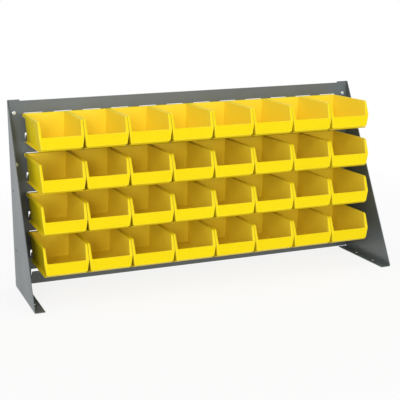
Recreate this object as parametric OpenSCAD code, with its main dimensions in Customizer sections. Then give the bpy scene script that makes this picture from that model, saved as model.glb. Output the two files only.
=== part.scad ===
// Bench bin rack: a louvred steel panel bolted between two bent-sheet legs,
// hung with rows of hopper-front plastic bins.
// X runs across the rack, the front faces -Y, and Z is up from the bench.

/* [Layout] */
// Number of bins in a row
bin_cols = 8; // [2:1:8]
// Number of rows of bins
bin_rows = 4; // [1:1:4]
// Gap between the rims of neighbouring bins
bin_gap = 1; // [0.6:0.1:8]
// Height left open between one row of bins and the next
row_gap = 27.3; // [24:0.1:60]
// Offset of the hung bins along the louvres
bin_shift = -5; // [-6:0.5:6]
// End bins to the outer faces of the legs, with the bins centred
side_margin = 39.9; // [38:0.1:80]
// Top of the legs to the top of the highest slots
louvre_drop = 32.5; // [24:0.5:60]
// Bench to the lowest slots
louvre_rise = 20.3; // [12:0.1:60]

/* [Legs] */
// Depth of a leg along the bench
leg_d = 228; // [200:1:300]
// Thickness of the leg sheet
sheet_t = 2; // [1.5:0.1:3]
// Inner radius of the leg's bends
bend_inner_r = 1; // [0.5:0.1:2]
// Width of the back flange that carries the panel
back_flange_w = 30; // [26:0.5:34]
// Width of the foot flange on the bench
foot_flange_w = 25; // [22:0.5:40]
// Width of the side plate at its top
leg_top_w = 5; // [4:0.5:30]
// Height of the side plate at its front end
leg_nose_h = 5; // [4:0.5:30]
// Relief cut past the bends where the two flanges would meet
corner_relief = 3; // [2:0.5:12]

/* [Leg holes] */
// Diameter of the bench bolt holes in a foot
foot_hole_d = 8.5; // [5:0.5:10]
// Front end of the foot to its first hole
foot_hole_front = 64; // [30:1:80]
// Distance between the two holes of a foot
foot_hole_pitch = 84; // [40:1:100]
// Diameter of the holes in a side plate
side_hole_d = 8; // [5:0.5:10]
// Back of the leg to the side holes
side_hole_in = 30; // [20:1:60]
// Height of the lower side hole
side_hole_z = 98; // [40:1:140]
// Distance between the two side holes
side_hole_pitch = 145; // [60:1:180]

/* [Panel] */
// Thickness of the panel sheet
panel_t = 1.5; // [1:0.1:2.5]
// Top of the legs to the top of the panel
panel_drop = 3; // [0:0.5:10]
// Bench to the bottom of the panel
panel_lift = 2.5; // [0.5:0.5:10]
// Gap between an end of the panel and the round of the leg's bend
panel_clearance = 0.5; // [0.2:0.1:2]

/* [Louvres] */
// Width of a louvre
louvre_w = 44; // [30:1:50]
// Distance between louvres of a row
louvre_pitch = 72; // [60:0.5:120]
// Least distance from the louvres to the outer faces of the legs
louvre_margin = 36; // [36:0.5:60]
// Length of a louvre's tongue
tongue_l = 18; // [14:0.5:22]
// Lean of the tongues away from the panel
tongue_lean = 35; // [28:1:45]
// Height of the slot left open above a tongue's length
slot_gap = 1; // [0.5:0.5:8]

/* [Bins] */
// Width of a bin over its rim
bin_w = 103.4; // [80:0.1:130]
// Length of a bin from its back wall to its lip
bin_l = 178; // [140:1:200]
// Height of a bin
bin_h = 69; // [56:0.5:90]
// Reach of the band round the opening out from the side walls at the rim
rim_out = 3; // [1:0.1:5]
// Height of the band along the rim
rim_h = 8; // [4:0.5:14]
// Lean of a side wall inwards, from the rim to the base
draft = 3.7; // [1:0.1:6]
// Thickness of the bin's walls
wall_t = 2.2; // [1.4:0.1:3]
// Thickness of the bin's floor
floor_t = 2.5; // [1.6:0.1:4]
// Reach of the base flange out from the side walls
base_out = 6; // [2:0.5:6.5]
// Thickness of the base flange
base_flange_t = 2; // [2:0.5:6]
// Front end of the base back from the lip
base_setback = 14; // [8:0.5:30]
// Rim to the top of the front lip
lip_drop = 35.6; // [25:0.1:42]
// Height of the lip's lower edge above the base
lip_rise = 6; // [2:0.5:10]
// Lean of the lip, out over its height
lip_lean = 3.5; // [1:0.5:8]
// Front end of the rim back from the lip
rim_setback = 12.5; // [8:0.5:40]
// Depth of the band along the front edges
front_band_d = 10; // [5:0.5:16]
// Reach of that band out from the side walls at the foot of the lip
lip_foot_out = 2.6; // [0.5:0.1:2.9]

/* [Bin hooks] */
// Thickness of the hook along the back rim
hook_t = 2.2; // [1.4:0.1:2.6]
// Gap between the hook's lip and the panel
hook_gap = 1; // [0.4:0.1:1.4]
// Gap between the hook's lip and the tongue that it drops behind
hook_clearance = 1.2; // [0.6:0.1:2]
// Gap between the back wall and the tips of the tongues
tongue_gap = 0.8; // [0.4:0.1:3]
// Gap between the hook and the tips of the tongues that it hangs on
seat_gap = 0.2; // [0.1:0.05:0.5]

/* [Fasteners] */
// Diameter of the panel bolts
bolt_d = 6; // [4:0.5:6]
// Clearance of the bolt holes over the bolts
bolt_clearance = 0.6; // [0.3:0.1:1]
// Width across the flats of bolt heads and nuts
hex_w = 10; // [8.5:0.5:12]
// Height of a bolt head
head_h = 4; // [2:0.5:6]
// Height of a nut
nut_h = 5; // [3:0.5:7]
// Clearance of a nut's bore over its bolt
nut_clearance = 0.2; // [0.1:0.05:0.3]
// Length of a bolt past its nut
bolt_tail = 1.5; // [0.5:0.5:4]
// Number of bolts in a leg
leg_bolts = 4; // [2:1:5]
// Top of the legs to the highest bolts
bolt_drop = 32; // [20:1:50]
// Bench to the lowest bolts
bolt_rise = 53; // [30:1:80]

/* [Hidden] */
$fn = 48;
// Overshoot of cuts past the faces that they open
cut = 1;

// Overall size
bin_pitch = bin_w + bin_gap;
bin_row_pitch = bin_h + row_gap;
slot_h = tongue_l + slot_gap;
rack_w = bin_cols * bin_pitch - bin_gap + 2 * side_margin;
rack_h = louvre_drop + bin_rows * bin_row_pitch + slot_h + louvre_rise;
rack_d = leg_d + nut_h + bolt_tail;

// Depths, from the bolt ends at the back to the tips of the feet
grip = panel_t + sheet_t;
leg_back_y = rack_d / 2 - nut_h - bolt_tail;
panel_y = leg_back_y - grip;

// Legs and panel
side_x = rack_w / 2;
flange_mid_x = side_x - back_flange_w / 2;
bend_r = bend_inner_r + sheet_t;
relief = bend_r + corner_relief;
panel_w = rack_w - 2 * (bend_r + panel_clearance);
panel_h = rack_h - panel_drop - panel_lift;
bolt_pitch = (rack_h - bolt_drop - bolt_rise) / (leg_bolts - 1);
bolt_heights = [for (i = [0 : leg_bolts - 1]) bolt_rise + i * bolt_pitch];
hole_d = bolt_d + bolt_clearance;
hex_d = hex_w / cos(30);

// Louvres: as many in a row as the panel takes
louvre_rows = 2 * bin_rows + 1;
louvre_row_pitch = bin_row_pitch / 2;
louvre_cols = 1 + floor((rack_w - 2 * louvre_margin - louvre_w) / louvre_pitch);
tongue_out = tongue_l * sin(tongue_lean);
tongue_rise = tongue_l * cos(tongue_lean) + panel_t * sin(tongue_lean);
function slot_z(row) = louvre_rise + row * louvre_row_pitch;
function louvre_x(col) = (col - (louvre_cols - 1) / 2) * louvre_pitch;

// Bins: forward distances are from the panel's front, heights from the rim
body_top_w = bin_w - 2 * rim_out;
body_base_w = body_top_w - 2 * draft;
back_f = tongue_out + tongue_gap;
lip_f = back_f + bin_l;
lip_base_f = lip_f - lip_lean;
lip_base_z = lip_rise - bin_h;
rim_f = lip_f - rim_setback;
base_f = lip_f - base_setback;
lip_foot_w = body_base_w + 2 * (draft * lip_rise / bin_h + lip_foot_out);

// Height at which the gap behind a tongue is just wide enough for the hook's lip
hook_room = hook_gap + hook_t + hook_clearance + panel_t * cos(tongue_lean);
hook_low = hook_room / tan(tongue_lean) + panel_t * sin(tongue_lean);
rim_above_slot = tongue_rise + seat_gap + hook_t;
hook_drop = rim_above_slot - hook_low;
function rim_z(row) = slot_z(2 * (bin_rows - row)) + rim_above_slot;
function bin_x(col) = bin_shift + (col - (bin_cols - 1) / 2) * bin_pitch;
function bin_name(row, col) = str("bin_row", row + 1, "_col", col + 1);
bin_names = [for (row = [0 : bin_rows - 1], col = [0 : bin_cols - 1]) bin_name(row, col)];

// Extrudes a (forward, up) outline across the width, centred
module across(width) {
    rotate([90, 0, -90]) linear_extrude(width, center = true) children();
}

// Extrudes an (x, up) outline forward
module forward(length) {
    rotate([90, 0, 0]) linear_extrude(length) children();
}

// Sets children at every panel bolt, on its axis at the panel's front
module at_bolts() {
    for (side = [-1, 1], height = bolt_heights)
        translate([side * flange_mid_x, panel_y, height]) rotate([-90, 0, 0]) children();
}

// What lies between a square corner and its round, for cutting or filling bends
module corner_sliver(radius, length) {
    linear_extrude(length)
        difference() {
            square(radius);
            translate([radius, radius]) circle(radius);
        }
}

// A leg's sheet before its holes, with the outer back corner on the Z axis
module leg_sheet() {
    foot_l = leg_d - relief;
    flange_h = rack_h - relief;
    side_outline = [
        [0, 0],
        [leg_d, 0],
        [leg_d, leg_nose_h],
        [leg_top_w, rack_h],
        [0, rack_h]
    ];
    difference() {
        union() {
            translate([sheet_t / 2, 0, 0]) across(sheet_t) polygon(side_outline);
            translate([0, -sheet_t, relief]) cube([back_flange_w, sheet_t, flange_h]);
            translate([0, -leg_d, 0]) cube([foot_flange_w, foot_l, sheet_t]);
            translate([sheet_t, -sheet_t, relief]) mirror([0, 1, 0]) corner_sliver(bend_inner_r, flange_h);
            translate([sheet_t, -relief, sheet_t]) rotate([90, 0, 0]) corner_sliver(bend_inner_r, foot_l);
        }
        translate([0, 0, -cut]) mirror([0, 1, 0]) corner_sliver(bend_r, rack_h + 2 * cut);
        translate([0, cut, 0]) rotate([90, 0, 0]) corner_sliver(bend_r, leg_d + 2 * cut);
    }
}

// The left leg, from which the right one is mirrored
module leg() {
    drill_l = sheet_t + 2 * cut;
    translate([-side_x, leg_back_y, 0])
        difference() {
            leg_sheet();
            for (height = bolt_heights)
                translate([back_flange_w / 2, cut, height])
                    rotate([90, 0, 0]) cylinder(h = drill_l, d = hole_d);
            for (i = [0, 1])
                translate([foot_flange_w / 2, foot_hole_front + i * foot_hole_pitch - leg_d, -cut])
                    cylinder(h = drill_l, d = foot_hole_d);
            for (i = [0, 1])
                translate([-cut, -side_hole_in, side_hole_z + i * side_hole_pitch])
                    rotate([0, 90, 0]) cylinder(h = drill_l, d = side_hole_d);
        }
}

module left_leg() {
    color("slategray") leg();
}

module right_leg() {
    color("slategray") mirror([1, 0, 0]) leg();
}

// A louvre's tongue, bent out from the lower edge of its slot
module tongue() {
    tip = [tongue_out, tongue_l * cos(tongue_lean)];
    skin = panel_t * [-cos(tongue_lean), sin(tongue_lean)];
    across(louvre_w)
        polygon([
            [0, 0],
            tip,
            tip + skin,
            [-panel_t, panel_t * tan(tongue_lean / 2)],
            [-panel_t, 0]
        ]);
}

// The panel's flat sheet, slotted
module slotted_sheet() {
    translate([0, panel_t, 0])
        forward(panel_t)
            difference() {
                translate([-panel_w / 2, panel_lift]) square([panel_w, panel_h]);
                for (row = [0 : louvre_rows - 1], col = [0 : louvre_cols - 1])
                    translate([louvre_x(col) - louvre_w / 2, slot_z(row)]) square([louvre_w, slot_h]);
            }
}

module louvre_panel() {
    color("slategray")
        difference() {
            translate([0, panel_y, 0]) slotted_sheet();
            at_bolts() translate([0, 0, -cut]) cylinder(h = panel_t + 2 * cut, d = hole_d);
        }
}

// The tongues, each on the lower edge of its slot
module louvre_tongues() {
    color("slategray")
        for (row = [0 : louvre_rows - 1], col = [0 : louvre_cols - 1])
            translate([louvre_x(col), panel_y, slot_z(row)]) tongue();
}

module panel_bolts() {
    color("gainsboro")
        at_bolts() {
            translate([0, 0, -head_h]) cylinder(h = head_h, d = hex_d, $fn = 6);
            cylinder(h = grip + nut_h + bolt_tail, d = bolt_d);
        }
}

module panel_nuts() {
    color("gainsboro")
        at_bolts()
            translate([0, 0, grip])
                difference() {
                    cylinder(h = nut_h, d = hex_d, $fn = 6);
                    translate([0, 0, -cut]) cylinder(h = nut_h + 2 * cut, d = bolt_d + nut_clearance);
                }
}

// A width that narrows from the rim to the base and runs straight up above the rim
module taper(top_w, base_w) {
    polygon([
        [-top_w / 2, cut],
        [-top_w / 2, 0],
        [-base_w / 2, -bin_h],
        [base_w / 2, -bin_h],
        [top_w / 2, 0],
        [top_w / 2, cut]
    ]);
}

// A (forward, up) outline carried across a tapering width
module tapered(outline, top_w, base_w) {
    intersection() {
        across(bin_w) polygon(outline);
        forward(lip_f + cut) taper(top_w, base_w);
    }
}

// The bin's body before the inside is cut
module body_block() {
    outline = [
        [back_f, 0],
        [back_f, -bin_h],
        [base_f, -bin_h],
        [lip_base_f, lip_base_z],
        [lip_f, -lip_drop],
        [rim_f, 0]
    ];
    tapered(outline, body_top_w, body_base_w);
}

// The band round the opening before the inside is cut: along the rim, then down the front edges to the lip
module opening_band() {
    corner_f = rim_f + rim_setback * rim_h / lip_drop - front_band_d;
    outline = [
        [back_f, 0],
        [back_f, -rim_h],
        [corner_f, -rim_h],
        [lip_f - front_band_d, -lip_drop],
        [lip_f, -lip_drop],
        [rim_f, 0]
    ];
    across(bin_w) polygon(outline);
}

// The band's lower ends beside the lip, narrowing to its foot
module lip_ends() {
    outline = [
        [lip_f - front_band_d, -lip_drop],
        [lip_base_f - front_band_d, lip_base_z],
        [lip_base_f, lip_base_z],
        [lip_f, -lip_drop]
    ];
    narrowing = [
        [-bin_w / 2, -lip_drop],
        [-lip_foot_w / 2, lip_base_z],
        [lip_foot_w / 2, lip_base_z],
        [bin_w / 2, -lip_drop]
    ];
    intersection() {
        across(bin_w) polygon(outline);
        forward(lip_f + cut) polygon(narrowing);
    }
}

// The space inside a bin, open upwards and over the lip
module bin_inside() {
    floor_z = floor_t - bin_h;
    outline = [
        [back_f + wall_t, cut],
        [back_f + wall_t, floor_z],
        [base_f - wall_t, floor_z],
        [lip_base_f - wall_t, lip_base_z + floor_t],
        [lip_f - wall_t, -lip_drop],
        [lip_f + cut, -lip_drop],
        [lip_f + cut, cut]
    ];
    tapered(outline, body_top_w - 2 * wall_t, body_base_w - 2 * wall_t);
}

// The hook along the back rim, which drops behind the tongues
module hook() {
    outline = [
        [back_f + wall_t, 0],
        [back_f + wall_t, -hook_t],
        [hook_gap + hook_t, -hook_t],
        [hook_gap + hook_t, -hook_drop],
        [hook_gap, -hook_drop],
        [hook_gap, 0]
    ];
    across(bin_w) polygon(outline);
}

// The flange along both sides of the base, which stacks on the rim of a bin below
module base_flange() {
    base_l = base_f - back_f;
    base_w = body_base_w + 2 * base_out;
    translate([-base_w / 2, -base_f, -bin_h]) cube([base_w, base_l, base_flange_t]);
}

module hopper_bin() {
    difference() {
        union() {
            body_block();
            opening_band();
            lip_ends();
            base_flange();
        }
        bin_inside();
    }
    hook();
}

module bin_at(row, col) {
    color("gold") translate([bin_x(col), panel_y, rim_z(row)]) hopper_bin();
}

louvre_panel();
louvre_tongues();
left_leg();
right_leg();
panel_bolts();
panel_nuts();
for (row = [0 : bin_rows - 1], col = [0 : bin_cols - 1])
    bin_at(row, col);
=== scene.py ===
import math

import bmesh
import bpy
from mathutils import Matrix, Vector


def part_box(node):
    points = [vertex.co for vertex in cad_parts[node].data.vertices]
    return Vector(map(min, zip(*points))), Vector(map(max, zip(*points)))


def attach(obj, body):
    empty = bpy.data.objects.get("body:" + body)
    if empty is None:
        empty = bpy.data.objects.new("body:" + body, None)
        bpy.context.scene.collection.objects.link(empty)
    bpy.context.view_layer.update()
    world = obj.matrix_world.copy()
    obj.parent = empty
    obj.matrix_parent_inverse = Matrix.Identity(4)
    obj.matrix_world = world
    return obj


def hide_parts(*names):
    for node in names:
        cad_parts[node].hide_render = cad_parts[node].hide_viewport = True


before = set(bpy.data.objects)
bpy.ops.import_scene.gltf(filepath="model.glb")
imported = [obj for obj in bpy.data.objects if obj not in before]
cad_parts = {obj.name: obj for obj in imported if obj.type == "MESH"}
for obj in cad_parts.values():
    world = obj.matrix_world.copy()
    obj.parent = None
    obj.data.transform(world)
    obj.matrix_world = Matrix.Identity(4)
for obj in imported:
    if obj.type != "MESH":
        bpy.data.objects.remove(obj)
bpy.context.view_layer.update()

scene = bpy.context.scene
scene.view_settings.view_transform = "Standard"

# Selecting and editing


def near(a, b, gap=2e-5):
    return abs(a - b) < gap


def deselectAll():
    bpy.ops.object.select_all(action="DESELECT")


def namePiece(name):  # the primitive just added becomes a named piece with its place in its mesh
    piece = bpy.context.object
    piece.name = name
    piece.data.name = name
    bpy.ops.object.transform_apply(location=True, rotation=True, scale=True)
    return piece


def addBlock(name, low, high):
    low, high = Vector(low), Vector(high)
    deselectAll()
    bpy.ops.mesh.primitive_cube_add(size=1, location=(low + high) / 2)
    bpy.context.object.scale = high - low
    return namePiece(name)


def addPlate(name, middle, size, turn):  # a flat sheet, turned to stand upright
    deselectAll()
    bpy.ops.mesh.primitive_plane_add(size=1, location=middle, rotation=turn)
    bpy.context.object.scale = (*size, 1)
    return namePiece(name)


def addRod(name, middle, radius, length, turn, sides=32):
    deselectAll()
    bpy.ops.mesh.primitive_cylinder_add(vertices=sides, radius=radius, depth=length,
                                        location=middle, rotation=turn)
    return namePiece(name)


def makeActive(piece):
    deselectAll()
    piece.select_set(True)
    bpy.context.view_layer.objects.active = piece


def startEdit(piece):
    makeActive(piece)
    bpy.ops.object.mode_set(mode="EDIT")


def endEdit():
    bpy.ops.object.mode_set(mode="OBJECT")


def pick(kind, test):  # selects what passes the test, in edit mode
    bpy.ops.mesh.select_mode(type=kind)
    bpy.ops.mesh.select_all(action="DESELECT")
    shape = bmesh.from_edit_mesh(bpy.context.object.data)
    for item in {"VERT": shape.verts, "EDGE": shape.edges, "FACE": shape.faces}[kind]:
        if test(item):
            item.select_set(True)
    shape.select_flush_mode()
    bmesh.update_edit_mesh(bpy.context.object.data)


def middleOf(edge):
    return (edge.verts[0].co + edge.verts[1].co) / 2


def cutSelected(point, normal):  # a new line of edges across what is selected
    bpy.ops.mesh.bisect(plane_co=point, plane_no=normal)


def move(x=0, y=0, z=0):
    bpy.ops.transform.translate(value=(x, y, z))


def extrude(x=0, y=0, z=0):
    bpy.ops.mesh.extrude_region_move(TRANSFORM_OT_translate={"value": (x, y, z)})


def bendUp(angle, axis, centre, steps):  # spins the selected edges, right-handed about the axis
    bpy.ops.mesh.spin(steps=steps, angle=-angle, axis=axis, center=centre)


def applyModifier(piece, kind, **values):
    makeActive(piece)
    bpy.ops.object.modifier_add(type=kind)
    modifier = piece.modifiers[-1]
    for key, value in values.items():
        setattr(modifier, key, value)
    bpy.ops.object.modifier_apply(modifier=modifier.name)


def thicken(piece, thickness, insideSlot=0):  # the outer side stays where it is
    applyModifier(piece, "SOLIDIFY", thickness=thickness, offset=-1, use_even_offset=True,
                  use_quality_normals=True, material_offset=insideSlot)


def joinPieces(pieces):
    deselectAll()
    for piece in pieces:
        piece.select_set(True)
    bpy.context.view_layer.objects.active = pieces[0]
    if len(pieces) > 1:
        bpy.ops.object.join()
    return pieces[0]


def drill(piece, holes):  # holes: (middle, radius, depth, turn)
    drills = joinPieces([addRod("drill", *hole) for hole in holes])
    applyModifier(piece, "BOOLEAN", operation="DIFFERENCE", solver="EXACT", object=drills)
    bpy.data.objects.remove(drills)


# the bevel faces take the material in edgeSlot, a lighter copy that paints a highlight along the edges
def roundEdges(piece, width, segments, angle=30, edgeSlot=1):
    applyModifier(piece, "BEVEL", width=width, segments=segments, limit_method="ANGLE",
                  angle_limit=math.radians(angle), material=edgeSlot)


def finishShading(piece, angle=40):
    makeActive(piece)
    bpy.ops.object.shade_smooth_by_angle(angle=math.radians(angle))
    applyModifier(piece, "WEIGHTED_NORMAL", mode="FACE_AREA", weight=80, keep_sharp=True)


def copyPiece(piece, name, shift):
    makeActive(piece)
    bpy.ops.object.duplicate(linked=False)
    move(*shift)
    return namePiece(name)


def dress(piece, body, slot, *nodes):
    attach(piece, body)
    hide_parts(*nodes)


# Materials


def newMaterial(name):
    material = bpy.data.materials.new(name)
    material.use_nodes = True
    nodes = material.node_tree.nodes
    return material, material.node_tree, nodes["Principled BSDF"]


def addNode(tree, kind, **values):
    node = tree.nodes.new(kind)
    for key, value in values.items():
        if key in node.inputs:
            node.inputs[key].default_value = value
        else:
            setattr(node, key, value)
    return node


def addNoise(tree, scale, stretch=(1, 1, 1), detail=3, roughness=0.5):
    place = addNode(tree, "ShaderNodeTexCoord")
    mapping = addNode(tree, "ShaderNodeMapping", Scale=stretch)
    noise = addNode(tree, "ShaderNodeTexNoise", Scale=scale, Detail=detail, Roughness=roughness)
    tree.links.new(place.outputs["Object"], mapping.inputs["Vector"])
    tree.links.new(mapping.outputs["Vector"], noise.inputs["Vector"])
    return noise.outputs["Fac"]


def spread(tree, source, low, high, start=0.3, end=0.7):  # noise to a range of values
    node = addNode(tree, "ShaderNodeMapRange")
    for key, value in (("From Min", start), ("From Max", end), ("To Min", low), ("To Max", high)):
        node.inputs[key].default_value = value
    tree.links.new(source, node.inputs["Value"])
    return node.outputs["Result"]


def blendColours(tree, factor, first, second):
    node = addNode(tree, "ShaderNodeMix", data_type="RGBA")
    tree.links.new(factor, node.inputs["Factor"])
    for socket, colour in ((node.inputs[6], first), (node.inputs[7], second)):
        if isinstance(colour, tuple):
            socket.default_value = (*colour, 1)
        else:
            tree.links.new(colour, socket)
    return node.outputs[2]


def addBump(tree, shader, *layers):  # layers: (height, strength, distance)
    last = None
    for height, strength, distance in layers:
        bump = addNode(tree, "ShaderNodeBump", Strength=strength, Distance=distance)
        tree.links.new(height, bump.inputs["Height"])
        if last:
            tree.links.new(last, bump.inputs["Normal"])
        last = bump.outputs["Normal"]
    tree.links.new(last, shader.inputs["Normal"])


plasticFinish = dict(
    colour=(0.92, 0.735, 0.004),
    deeper=(0.985, 0.95, 0.9),  # share of each colour left where it is deepest
    scuff=(0.94, 0.76, 0.03),
    # painted highlight: the lighter colour of the bevelled edge faces, standing in for the highlights along
    # the edges
    edge=(0.98, 0.80, 0.06),
    # painted light: the inner faces get a brighter, slightly bluer copy, standing in for bounced light and
    # the hazy tone of shade inside the bins
    inside=(0.99, 0.775, 0.05),
    roughness=(0.36, 0.48),
    specular=0.10,
    cloud=7,
    grain=2600,
    grainBump=(0.12, 0.0002),  # strength and height
    scuffs=190,
    scuffBump=(0.05, 0.0003),
    scuffed=0.5,  # most of the scuff colour that shows
    scuffRange=(0.62, 0.8),  # noise values from bare to most scuffed
)


def yellowPlastic(name, colour):
    s = plasticFinish
    material, tree, shader = newMaterial(name)
    clouds = addNoise(tree, s["cloud"], detail=4)
    scuffs = addNoise(tree, s["scuffs"], stretch=(0.12, 0.12, 1), detail=5, roughness=0.65)
    grain = addNoise(tree, s["grain"], detail=2)
    deeper = tuple(c * share for c, share in zip(colour, s["deeper"]))
    tone = blendColours(tree, spread(tree, clouds, 0, 1), colour, deeper)
    worn = blendColours(tree, spread(tree, scuffs, 0, s["scuffed"], *s["scuffRange"]), tone, s["scuff"])
    tree.links.new(worn, shader.inputs["Base Color"])
    tree.links.new(spread(tree, scuffs, *s["roughness"]), shader.inputs["Roughness"])
    addBump(tree, shader, (grain, *s["grainBump"]), (scuffs, *s["scuffBump"]))
    shader.inputs["Specular IOR Level"].default_value = s["specular"]
    return material


paintFinish = dict(
    colour=(0.112, 0.132, 0.142),
    deeper=(0.098, 0.116, 0.126),
    # painted highlight: the lighter colour of the bevelled edge faces; also the colour of the light specks
    edge=(0.17, 0.19, 0.20),
    roughness=(0.30, 0.42),
    specular=0.65,
    cloud=5,
    peel=620,
    peelBump=(0.14, 0.0003),
    speck=1900,
    speckBump=(0.05, 0.0001),
    speckled=0.35,
    speckRange=(0.5, 0.8),
)


def greyPaint(name, colour):
    s = paintFinish
    material, tree, shader = newMaterial(name)
    clouds = addNoise(tree, s["cloud"], detail=4)
    peel = addNoise(tree, s["peel"], detail=2)
    specks = addNoise(tree, s["speck"], detail=3, roughness=0.6)
    tone = blendColours(tree, spread(tree, clouds, 0, 1), colour, s["deeper"])
    speckled = blendColours(tree, spread(tree, specks, 0, s["speckled"], *s["speckRange"]), tone, s["edge"])
    tree.links.new(speckled, shader.inputs["Base Color"])
    tree.links.new(spread(tree, clouds, *s["roughness"]), shader.inputs["Roughness"])
    addBump(tree, shader, (peel, *s["peelBump"]), (specks, *s["speckBump"]))
    shader.inputs["Specular IOR Level"].default_value = s["specular"]
    return material


zincFinish = dict(
    colour=(0.56, 0.57, 0.58),
    deeper=(0.42, 0.43, 0.45),
    roughness=(0.25, 0.45),
    brushed=900,
    brushedBump=(0.1, 0.0001),
    spangle=240,
)


def brightZinc(name):
    s = zincFinish
    material, tree, shader = newMaterial(name)
    spangle = addNoise(tree, s["spangle"], detail=3)
    brushed = addNoise(tree, s["brushed"], stretch=(1, 0.06, 1), detail=3)
    tone = blendColours(tree, spread(tree, spangle, 0, 1), s["colour"], s["deeper"])
    tree.links.new(tone, shader.inputs["Base Color"])
    tree.links.new(spread(tree, brushed, *s["roughness"]), shader.inputs["Roughness"])
    addBump(tree, shader, (brushed, *s["brushedBump"]))
    shader.inputs["Metallic"].default_value = 1
    return material


plastic = yellowPlastic("yellowPlastic", plasticFinish["colour"])
# a brighter, bluer copy for the inner faces: painted light in the hollows
plasticInsidePaintedLight = yellowPlastic("yellowPlasticInsidePaintedLight", plasticFinish["inside"])
# a lighter copy for the bevel faces: a painted edge highlight
plasticEdgePaintedHighlight = yellowPlastic("yellowPlasticEdgePaintedHighlight", plasticFinish["edge"])
paint = greyPaint("greyPaint", paintFinish["colour"])
# a lighter copy for the bevel faces: a painted edge highlight
paintEdgePaintedHighlight = greyPaint("greyPaintEdgePaintedHighlight", paintFinish["edge"])
zinc = brightZinc("brightZinc")
print("materials made")


def setMaterials(piece, *materials):
    piece.data.materials.clear()
    for material in materials:
        piece.data.materials.append(material)


# Hopper bins: one is modelled where the first CAD bin is, the rest are copies

binSizes = dict(
    wall=0.0022,
    bandOut=0.003,  # reach of the band round the opening past the walls, at the rim
    rimHigh=0.008,  # the band along the rim
    frontDeep=0.010,  # the band along the front edges
    lipFootOut=0.0026,  # its reach at the foot of the lip
    bandCorner=0.004,
    rimCorner=0.005,
    draft=0.0037,  # lean of a side wall, rim to base
    lipDrop=0.0356,  # rim to the top of the lip
    lipRise=0.006,
    lipLean=0.0035,
    rimSetback=0.0125,
    baseSetback=0.014,
    baseOut=0.006,
    baseThick=0.002,
    hookReach=0.010124,  # back wall to the hook's back
    hookThick=0.0022,
    hookDrop=0.0091,
    edge=0.0009,
    labelBorder=0.0030,
    labelDeep=0.0005,
    footBorder=0.005,
    footDeep=0.0010,
)


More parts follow.
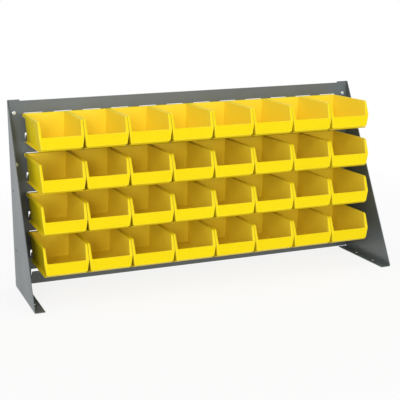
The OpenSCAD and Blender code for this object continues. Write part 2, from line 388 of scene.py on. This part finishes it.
def makeBin(node):
    s = binSizes
    low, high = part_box(node)
    middle = (low.x + high.x) / 2
    rim, base, lipY = high.z, low.z, low.y
    backY = high.y - s["hookReach"]
    half = (high.x - low.x) / 2 - s["bandOut"]
    lipTop = rim - s["lipDrop"]
    lipFoot = base + s["lipRise"]
    band = rim - s["rimHigh"]

    def frontY(z):  # the front's outline between the rim and the lip's foot
        if z > lipTop:
            return lipY + s["rimSetback"] * (z - lipTop) / s["lipDrop"]
        return lipY + s["lipLean"] * (lipTop - z) / (lipTop - lipFoot)

    # outer block with the hopper outline and drafted sides
    piece = addBlock("hopperBin", (middle - half, lipY, base), (middle + half, backY, rim))
    startEdit(piece)
    for level in (lipTop, lipFoot):
        bpy.ops.mesh.select_all(action="SELECT")
        cutSelected((middle, backY, level), (0, 0, 1))
    for level, setback in ((rim, s["rimSetback"]), (lipFoot, s["lipLean"]), (base, s["baseSetback"])):
        pick("VERT", lambda v: near(v.co.z, level) and near(v.co.y, lipY))
        move(y=setback)
    for level in (lipTop, lipFoot, base):
        pick("VERT", lambda v: near(v.co.z, level))
        narrowed = 1 - s["draft"] * (rim - level) / (rim - base) / half
        bpy.ops.transform.resize(value=(narrowed, 1, 1), center_override=(middle, 0, level))

    # open top and front with rounded corners between them, then the walls
    pick("FACE", lambda f: f.normal.z > 0.9 or (f.normal.y < -0.5 and f.calc_center_median().z > lipTop))
    bpy.ops.mesh.delete(type="FACE")
    pick("VERT", lambda v: near(v.co.z, rim) and near(v.co.y, frontY(rim)))
    bpy.ops.mesh.bevel(affect="VERTICES", offset=s["rimCorner"], segments=4)
    endEdit()
    setMaterials(piece, plastic, plasticInsidePaintedLight, plasticEdgePaintedHighlight)
    # the inner faces take slot 1, the copy with painted light in the hollows
    thicken(piece, s["wall"], 1)

    # a band along the rim and down the front edges stands out from each side wall
    def wallReach(z):
        return half - s["draft"] * (rim - z) / (rim - base)

    def onSide(f, side, lowest, highest):
        centre = f.calc_center_median()
        return f.normal.x * side > 0.9 and (centre.x - middle) * side > 0 and lowest < centre.z < highest

    def onBand(f):
        centre = f.calc_center_median()
        return centre.z > band or (centre.z > lipFoot and centre.y < frontY(centre.z) + s["frontDeep"])

    def meetsRim(f):
        return near(max(v.co.z for v in f.verts), rim)

    def atBandCorner(v):  # where the rim's band turns down along the front
        return near(v.co.z, band) and near(v.co.y, frontY(band) + s["frontDeep"], 2e-4)

    bendPoint = (middle, lipY + s["frontDeep"], lipTop)
    startEdit(piece)
    for side in (-1, 1):
        def outermost(v):
            return (v.co.x - middle) * side - wallReach(v.co.z) > s["lipFootOut"] / 2

        pick("FACE", lambda f: onSide(f, side, lipTop, rim))
        cutSelected((middle, backY, band), (0, 0, 1))
        pick("FACE", lambda f: onSide(f, side, lipTop, rim))
        cutSelected(bendPoint, (0, s["lipDrop"], -s["rimSetback"]))
        pick("FACE", lambda f: onSide(f, side, lipFoot, lipTop))
        cutSelected(bendPoint, (0, lipTop - lipFoot, s["lipLean"]))
        pick("FACE", lambda f: onSide(f, side, base, rim) and not onBand(f))
        bpy.ops.mesh.dissolve_faces()
        pick("FACE", lambda f: onSide(f, side, lipTop, rim) and onBand(f))
        bpy.ops.mesh.dissolve_faces()
        pick("VERT", lambda v: atBandCorner(v) and (v.co.x - middle) * side > 0)
        bpy.ops.mesh.bevel(affect="VERTICES", offset=s["bandCorner"], segments=4)
        pick("FACE", lambda f: onSide(f, side, lipFoot, lipTop) and onBand(f)
             or onSide(f, side, base, rim) and meetsRim(f))
        extrude(x=side * s["lipFootOut"])
        pick("VERT", lambda v: outermost(v) and v.co.z > lipTop - s["edge"])
        outside = (middle + side * (half + s["bandOut"]), 0, 0)
        bpy.ops.transform.resize(value=(0, 1, 1), center_override=outside)

    # base ledge along both sides
    for side in (-1, 1):
        pick("FACE", lambda f: onSide(f, side, base, band))
        cutSelected((middle, backY, base + s["baseThick"]), (0, 0, 1))
        pick("FACE", lambda f: onSide(f, side, base, base + s["baseThick"]))
        extrude(x=side * s["baseOut"])

    # hook along the back rim
    def onBack(f):
        return f.normal.y > 0.9 and f.calc_center_median().y > backY - s["wall"] / 2

    pick("FACE", onBack)
    cutSelected((middle, backY, rim - s["hookThick"]), (0, 0, 1))
    pick("FACE", lambda f: onBack(f) and f.calc_center_median().z > rim - s["hookThick"])
    extrude(y=s["hookReach"] - s["hookThick"])
    extrude(y=s["hookThick"])
    lipBack = backY + s["hookReach"] - s["hookThick"]
    pick("FACE", lambda f: f.normal.z < -0.9 and f.calc_center_median().y > lipBack)
    extrude(z=s["hookThick"] - s["hookDrop"])
    endEdit()
    # the bevel faces take slot 2, the lighter copy painted as an edge highlight
    roundEdges(piece, s["edge"], 2, edgeSlot=2)

    # sunk label face on the lip and a sunk underside
    startEdit(piece)
    bpy.ops.mesh.select_all(action="SELECT")
    bpy.ops.mesh.normals_make_consistent(inside=False)

    def widest(f, reach):  # the main face of a wall with this reach, not the strips beside it
        return f.calc_area() > half * reach / 2

    def onLip(f):
        return f.normal.y < -0.9 and f.calc_center_median().y < lipY + s["frontDeep"]

    def onUnderside(f):
        return f.normal.z < -0.9 and near(f.calc_center_median().z, base)

    pick("FACE", lambda f: onLip(f) and widest(f, lipTop - lipFoot))
    bpy.ops.mesh.inset(thickness=s["labelBorder"])
    bpy.ops.mesh.inset(thickness=s["labelDeep"], depth=-s["labelDeep"])
    pick("FACE", lambda f: onUnderside(f) and widest(f, backY - lipY))
    bpy.ops.mesh.inset(thickness=s["footBorder"])
    bpy.ops.mesh.inset(thickness=s["footDeep"], depth=-s["footDeep"])
    endEdit()
    finishShading(piece)
    return piece


binNodes = sorted(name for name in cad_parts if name.startswith("bin_"))
firstBin = makeBin(binNodes[0])
for node in binNodes:
    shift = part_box(node)[0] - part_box(binNodes[0])[0]
    hopper = copyPiece(firstBin, "hopper" + node[3:], shift)
    dress(hopper, node, "yellow_plastic", node)
print("bins made:", len(binNodes), "of", len(firstBin.data.polygons), "faces")
bpy.data.objects.remove(firstBin)


# Louvred panel: one louvre in its piece of sheet, repeated in rows and columns

panelSizes = dict(
    thick=0.0015,
    columns=12,
    rows=9,
    columnPitch=0.072,
    rowPitch=0.04815,
    firstSlot=0.0203,  # bench to the lowest slots
    slotWide=0.044,
    slotHigh=0.019,
    tongueLong=0.0175,
    tongueLean=math.radians(35),
    bend=0.004,
    tongueCorner=0.003,
    boltHole=0.0033,
    edge=0.00025,
)

fastenerSizes = dict(
    acrossFlats=0.010,
    headHigh=0.004,
    nutHigh=0.005,
    tail=0.0015,
    rod=0.003,
    sheets=0.0035,  # panel and leg flange together
    fromSide=0.015,
    highest=0.032,  # below the top of the legs
    lowest=0.053,
    count=4,
    chamfer=0.0007,
    dome=0.0025,
    pitch=0.001,
    root=0.84,  # width of the thread's roots against its crests
    play=0.0001,
)

drillDeep = 0.02  # through any of the sheets
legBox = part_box("left_leg")
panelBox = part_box("louvre_panel")
panelFront = panelBox[1].y - panelSizes["thick"]


def boltPlaces():
    s = fastenerSizes
    top = legBox[1].z - s["highest"]
    step = (top - s["lowest"]) / (s["count"] - 1)
    side = -legBox[0].x - s["fromSide"]
    heights = [s["lowest"] + i * step for i in range(s["count"])]
    return [Vector((x, panelFront, z)) for x in (-side, side) for z in heights]


def makePanel():
    s = panelSizes
    low, high = panelBox
    firstX = -s["columnPitch"] * (s["columns"] - 1) / 2
    slotFoot = s["firstSlot"]
    slotTop = slotFoot + s["slotHigh"]
    cellFoot = slotFoot - (s["rowPitch"] - s["slotHigh"]) / 2
    cellMiddle = (firstX, panelFront, cellFoot + s["rowPitch"] / 2)

    # one cell of sheet with its slot
    piece = addPlate("louvrePanel", cellMiddle, (s["columnPitch"], s["rowPitch"]), (math.pi / 2, 0, 0))
    startEdit(piece)
    for x in (firstX - s["slotWide"] / 2, firstX + s["slotWide"] / 2):
        bpy.ops.mesh.select_all(action="SELECT")
        cutSelected((x, panelFront, slotFoot), (1, 0, 0))
    for z in (slotFoot, slotTop):
        bpy.ops.mesh.select_all(action="SELECT")
        cutSelected((firstX, panelFront, z), (0, 0, 1))
    slotMiddle = Vector((firstX, panelFront, (slotFoot + slotTop) / 2))
    pick("FACE", lambda f: near((f.calc_center_median() - slotMiddle).length, 0))
    bpy.ops.mesh.delete(type="FACE")

    # the tongue bends out from the slot's foot, then runs straight to rounded corners
    pick("EDGE", lambda e: e.is_boundary and near(middleOf(e).x, firstX) and near(middleOf(e).z, slotFoot))
    bendUp(s["tongueLean"], (1, 0, 0), (firstX, panelFront - s["bend"], slotFoot), 5)
    straight = s["tongueLong"] - s["bend"] * s["tongueLean"]
    extrude(y=-straight * math.sin(s["tongueLean"]), z=straight * math.cos(s["tongueLean"]))
    tip = min(v.co.y for v in bmesh.from_edit_mesh(piece.data).verts)
    pick("VERT", lambda v: near(v.co.y, tip))
    bpy.ops.mesh.bevel(affect="VERTICES", offset=s["tongueCorner"], segments=3)
    endEdit()

    for count, step in ((s["columns"], (s["columnPitch"], 0, 0)), (s["rows"], (0, 0, s["rowPitch"]))):
        applyModifier(piece, "ARRAY", count=count, use_relative_offset=False, use_constant_offset=True,
                      constant_offset_displace=step, use_merge_vertices=True, merge_threshold=1e-5)

    # the outer edges run on to the panel's own edges
    startEdit(piece)
    ends = [v.co.copy() for v in bmesh.from_edit_mesh(piece.data).verts if near(v.co.y, panelFront)]
    for axis, pickEnd, edge in ((0, min, low.x), (0, max, high.x), (2, min, low.z), (2, max, high.z)):
        end = pickEnd(co[axis] for co in ends)
        pick("VERT", lambda v: near(v.co.y, panelFront) and near(v.co[axis], end))
        shift = [0, 0, 0]
        shift[axis] = edge - end
        move(*shift)
    bpy.ops.mesh.select_all(action="SELECT")
    bpy.ops.mesh.normals_make_consistent(inside=False)
    pick("FACE", lambda f: f.normal.y > 0.5)
    bpy.ops.mesh.flip_normals()
    endEdit()
    thicken(piece, s["thick"])
    drill(piece, [(place, s["boltHole"], drillDeep, (math.pi / 2, 0, 0)) for place in boltPlaces()])
    setMaterials(piece, paint, paintEdgePaintedHighlight)
    # the bevel faces take slot 1, the lighter copy painted as an edge highlight
    roundEdges(piece, s["edge"], 1, 50)
    finishShading(piece)
    return piece


panel = makePanel()
dress(panel, "rack", "grey_paint", "louvre_panel", "louvre_tongues")
print("panel made:", len(panel.data.polygons), "faces")


# Legs: a side plate with the back flange and the foot bent from the same sheet

legSizes = dict(
    thick=0.002,
    bend=0.003,  # outer radius
    backFlange=0.030,
    footFlange=0.025,
    topWide=0.005,
    noseHigh=0.005,
    relief=0.004,
    footHole=0.00425,
    footHoleFront=0.064,
    footHolePitch=0.084,
    sideHole=0.004,
    sideHoleIn=0.030,
    sideHoleLow=0.098,
    sideHolePitch=0.145,
    edge=0.0003,
)


def makeLeg():
    s = legSizes
    low, high = legBox
    outerX, frontY, backY, top = low.x, low.y, high.y, high.z
    bendX, bendY, bendZ = outerX + s["bend"], backY - s["bend"], s["bend"]

    # side plate, cut along its slanted front
    middle = (outerX, (frontY + bendY) / 2, (top + bendZ) / 2)
    piece = addPlate("leftLeg", middle, (bendY - frontY, top - bendZ), (math.pi / 2, 0, -math.pi / 2))
    startEdit(piece)
    tipY = backY - s["topWide"]
    slant = (0, -(top - s["noseHigh"]), tipY - frontY)
    bpy.ops.mesh.select_all(action="SELECT")
    bpy.ops.mesh.bisect(plane_co=(outerX, tipY, top), plane_no=slant, clear_outer=True)
    footEnd = backY - s["relief"]
    for point, normal in (((outerX, footEnd, 0), (0, 1, 0)), ((outerX, 0, s["relief"]), (0, 0, 1))):
        bpy.ops.mesh.select_all(action="SELECT")
        cutSelected(point, normal)

    # bend the back flange and the foot
    pick("EDGE", lambda e: all(near(v.co.y, bendY) for v in e.verts) and middleOf(e).z > s["relief"])
    bendUp(-math.pi / 2, (0, 0, 1), (bendX, bendY, 0), 6)
    extrude(x=s["backFlange"] - s["bend"])
    pick("EDGE", lambda e: all(near(v.co.z, bendZ) and near(v.co.x, outerX) for v in e.verts)
         and middleOf(e).y < footEnd)
    bendUp(-math.pi / 2, (0, 1, 0), (bendX, 0, bendZ), 6)
    extrude(x=s["footFlange"] - s["bend"])
    bpy.ops.mesh.select_all(action="SELECT")
    bpy.ops.mesh.remove_doubles(threshold=1e-6)
    bpy.ops.mesh.normals_make_consistent(inside=False)
    endEdit()
    if any(face.normal.x > 0.9 for face in piece.data.polygons):  # the outer side faces out
        startEdit(piece)
        bpy.ops.mesh.select_all(action="SELECT")
        bpy.ops.mesh.flip_normals()
        endEdit()
    thicken(piece, s["thick"])

    across, along, upright = (0, math.pi / 2, 0), (math.pi / 2, 0, 0), (0, 0, 0)
    flangeX = outerX + s["backFlange"] / 2
    sideBolts = boltPlaces()[:fastenerSizes["count"]]
    holes = [((flangeX, backY, place.z), panelSizes["boltHole"], drillDeep, along) for place in sideBolts]
    for i in range(2):
        footPlace = (outerX + s["footFlange"] / 2, frontY + s["footHoleFront"] + i * s["footHolePitch"], 0)
        sidePlace = (outerX, backY - s["sideHoleIn"], s["sideHoleLow"] + i * s["sideHolePitch"])
        holes.append((footPlace, s["footHole"], drillDeep, upright))
        holes.append((sidePlace, s["sideHole"], drillDeep, across))
    drill(piece, holes)
    setMaterials(piece, paint, paintEdgePaintedHighlight)
    # the bevel faces take slot 1, the lighter copy painted as an edge highlight
    roundEdges(piece, s["edge"], 2, 50)
    startEdit(piece)
    pick("VERT", lambda v: v.co.x < outerX)  # nothing stands past the side plate
    bpy.ops.transform.resize(value=(0, 1, 1), center_override=(outerX, 0, 0))
    endEdit()
    return piece


leftLeg = makeLeg()
rightLeg = copyPiece(leftLeg, "rightLeg", (0, 0, 0))
startEdit(rightLeg)
bpy.ops.mesh.select_all(action="SELECT")
bpy.ops.transform.resize(value=(-1, 1, 1), center_override=(0, 0, 0))
bpy.ops.mesh.normals_make_consistent(inside=False)
endEdit()
for leg, node in ((leftLeg, "left_leg"), (rightLeg, "right_leg")):
    finishShading(leg)
    dress(leg, "rack", "grey_paint", node)
print("legs made:", len(leftLeg.data.polygons), "faces each")


# Panel bolts and nuts


def repeat(piece, places):  # the piece is at the first place
    copies = [copyPiece(piece, piece.name, place - places[0]) for place in places[1:]]
    return joinPieces([piece, *copies])


def makeHex(name, middle, high, ends, turnedOff, steps):  # ends: the sides along Y that are turned off
    s = fastenerSizes
    radius = s["acrossFlats"] / 2 / math.cos(math.pi / 6)
    piece = addRod(name, middle, radius, high, (math.pi / 2, math.pi / 6, 0), 6)
    turned = addRod("turned", middle, radius, high, (math.pi / 2, 0, 0), 48)
    startEdit(turned)
    for end in ends:
        pick("FACE", lambda f: f.normal.y * end > 0.9)
        bpy.ops.mesh.bevel(offset=turnedOff, segments=steps)
    endEdit()
    applyModifier(piece, "BOOLEAN", operation="INTERSECT", solver="EXACT", object=turned)
    bpy.data.objects.remove(turned)
    return piece


def makeBolts(places):
    s = fastenerSizes
    first = places[0]
    headMiddle = first - Vector((0, s["headHigh"] / 2, 0))
    head = makeHex("panelBolts", headMiddle, s["headHigh"], (-1,), s["dome"], 5)
    length = s["sheets"] + s["nutHigh"] + s["tail"]
    end = first.y + length
    shank = addRod("shank", first + Vector((0, length / 2, 0)), s["rod"], length, (math.pi / 2, 0, 0), 24)
    startEdit(shank)
    threads = int((s["nutHigh"] + s["tail"]) / s["pitch"])
    for i in range(2 * threads):
        bpy.ops.mesh.select_all(action="SELECT")
        cutSelected((0, end - (i + 1) * s["pitch"] / 2, 0), (0, 1, 0))
    for i in range(threads + 1):  # the end and the roots of the thread are narrower
        root = end - max(0, 2 * i - 1) * s["pitch"] / 2
        pick("VERT", lambda v: near(v.co.y, root))
        bpy.ops.transform.resize(value=(s["root"], 1, s["root"]), center_override=(first.x, root, first.z))
    endEdit()
    return repeat(joinPieces([head, shank]), places)


def makeNuts(places):
    s = fastenerSizes
    middle = places[0] + Vector((0, s["sheets"] + s["nutHigh"] / 2, 0))
    nut = makeHex("panelNuts", middle, s["nutHigh"], (-1, 1), s["chamfer"], 1)
    drill(nut, [(middle, s["rod"] + s["play"], 2 * s["nutHigh"], (math.pi / 2, 0, 0))])
    return repeat(nut, places)


places = boltPlaces()
for fastener, node in ((makeBolts(places), "panel_bolts"), (makeNuts(places), "panel_nuts")):
    setMaterials(fastener, zinc)
    finishShading(fastener, 30)
    dress(fastener, "rack", "zinc", node)
print("fasteners made")


# Floor, light and camera

studio = dict(
    floor=(0.92, 0.92, 0.92),
    floorSize=30,
    floorGlow=0.86,  # share of the floor that is plain white to the camera
    fade=(0.7, 1.6),  # distances over which that share grows to all of it
    ambient=0.44,
    aim=(0, 0, 0.2),  # all lamps face the middle of the rack
    lamps=dict(
        key=dict(place=(-4.0, -8.0, 2.0), size=2.5, watts=222),
        high=dict(place=(-3.5, -7.0, 4.5), size=2.5, watts=138),
        front=dict(place=(0.4, -3.0, 0.6), size=1.0, watts=10),
        top=dict(place=(0.1, 0.3, 2.4), size=2.0, watts=16),
    ),
)


def whiteToCamera(tree):  # 1 for rays that should meet the plain white backdrop
    path = addNode(tree, "ShaderNodeLightPath")
    first = addNode(tree, "ShaderNodeMath", operation="MAXIMUM")
    second = addNode(tree, "ShaderNodeMath", operation="MAXIMUM")
    tree.links.new(path.outputs["Is Camera Ray"], first.inputs[0])
    tree.links.new(path.outputs["Is Glossy Ray"], first.inputs[1])
    tree.links.new(first.outputs[0], second.inputs[0])
    tree.links.new(path.outputs["Is Transmission Ray"], second.inputs[1])
    return second.outputs[0]


def makeFloor():
    deselectAll()
    bpy.ops.mesh.primitive_plane_add(size=studio["floorSize"], location=(0, 0, 0))
    floor = namePiece("floor")
    material, tree, shader = newMaterial("paleFloor")
    shader.inputs["Base Color"].default_value = (*studio["floor"], 1)
    shader.inputs["Roughness"].default_value = 1
    shader.inputs["Specular IOR Level"].default_value = 0
    glow = addNode(tree, "ShaderNodeEmission", Strength=1)
    place = addNode(tree, "ShaderNodeTexCoord")
    distance = addNode(tree, "ShaderNodeVectorMath", operation="LENGTH")
    share = addNode(tree, "ShaderNodeMath", operation="MULTIPLY")
    mix = addNode(tree, "ShaderNodeMixShader")
    tree.links.new(place.outputs["Object"], distance.inputs[0])
    white = spread(tree, distance.outputs["Value"], studio["floorGlow"], 1, *studio["fade"])
    tree.links.new(white, share.inputs[1])
    tree.links.new(whiteToCamera(tree), share.inputs[0])
    tree.links.new(share.outputs[0], mix.inputs[0])
    tree.links.new(shader.outputs[0], mix.inputs[1])
    tree.links.new(glow.outputs[0], mix.inputs[2])
    tree.links.new(mix.outputs[0], tree.nodes["Material Output"].inputs["Surface"])
    setMaterials(floor, material)


def makeWorld():
    world = bpy.data.worlds.new("studio")
    scene.world = world
    world.use_nodes = True
    tree = world.node_tree
    background = tree.nodes["Background"]
    background.inputs["Color"].default_value = (1, 1, 1, 1)
    strength = spread(tree, whiteToCamera(tree), studio["ambient"], 1, 0, 1)
    tree.links.new(strength, background.inputs["Strength"])


def makeLamp(name, place, size, watts):
    bpy.ops.object.light_add(type="AREA", location=place)
    lamp = bpy.context.object
    lamp.name = name
    lamp.data.shape = "DISK"
    lamp.data.size = size
    lamp.data.energy = watts
    aim = Vector(studio["aim"]) - lamp.location
    lamp.rotation_euler = aim.to_track_quat("-Z", "Y").to_euler()


cameraSizes = dict(
    place=(-0.8494, -2.2138, 0.7050),
    yaw=math.radians(20.748),
    pitch=math.radians(-8.671),
    roll=math.radians(-1.097),
    sensor=36,
    lens=88.22,
    shift=-0.15,
)


def makeCamera():
    s = cameraSizes
    bpy.ops.object.camera_add(location=s["place"])
    camera = bpy.context.object
    camera.name = "camera"
    camera.data.sensor_width = s["sensor"]
    camera.data.lens = s["lens"]
    camera.data.shift_y = s["shift"]
    level = Vector((math.sin(s["yaw"]), math.cos(s["yaw"]), 0))
    ahead = level * math.cos(s["pitch"]) + Vector((0, 0, math.sin(s["pitch"])))
    turn = ahead.to_track_quat("-Z", "Y").to_matrix().to_4x4()
    camera.matrix_world = Matrix.Translation(s["place"]) @ turn @ Matrix.Rotation(s["roll"], 4, "Z")
    scene.camera = camera


makeFloor()
makeWorld()
for name, lamp in studio["lamps"].items():
    makeLamp(name, **lamp)
makeCamera()
print("floor, light and camera set")
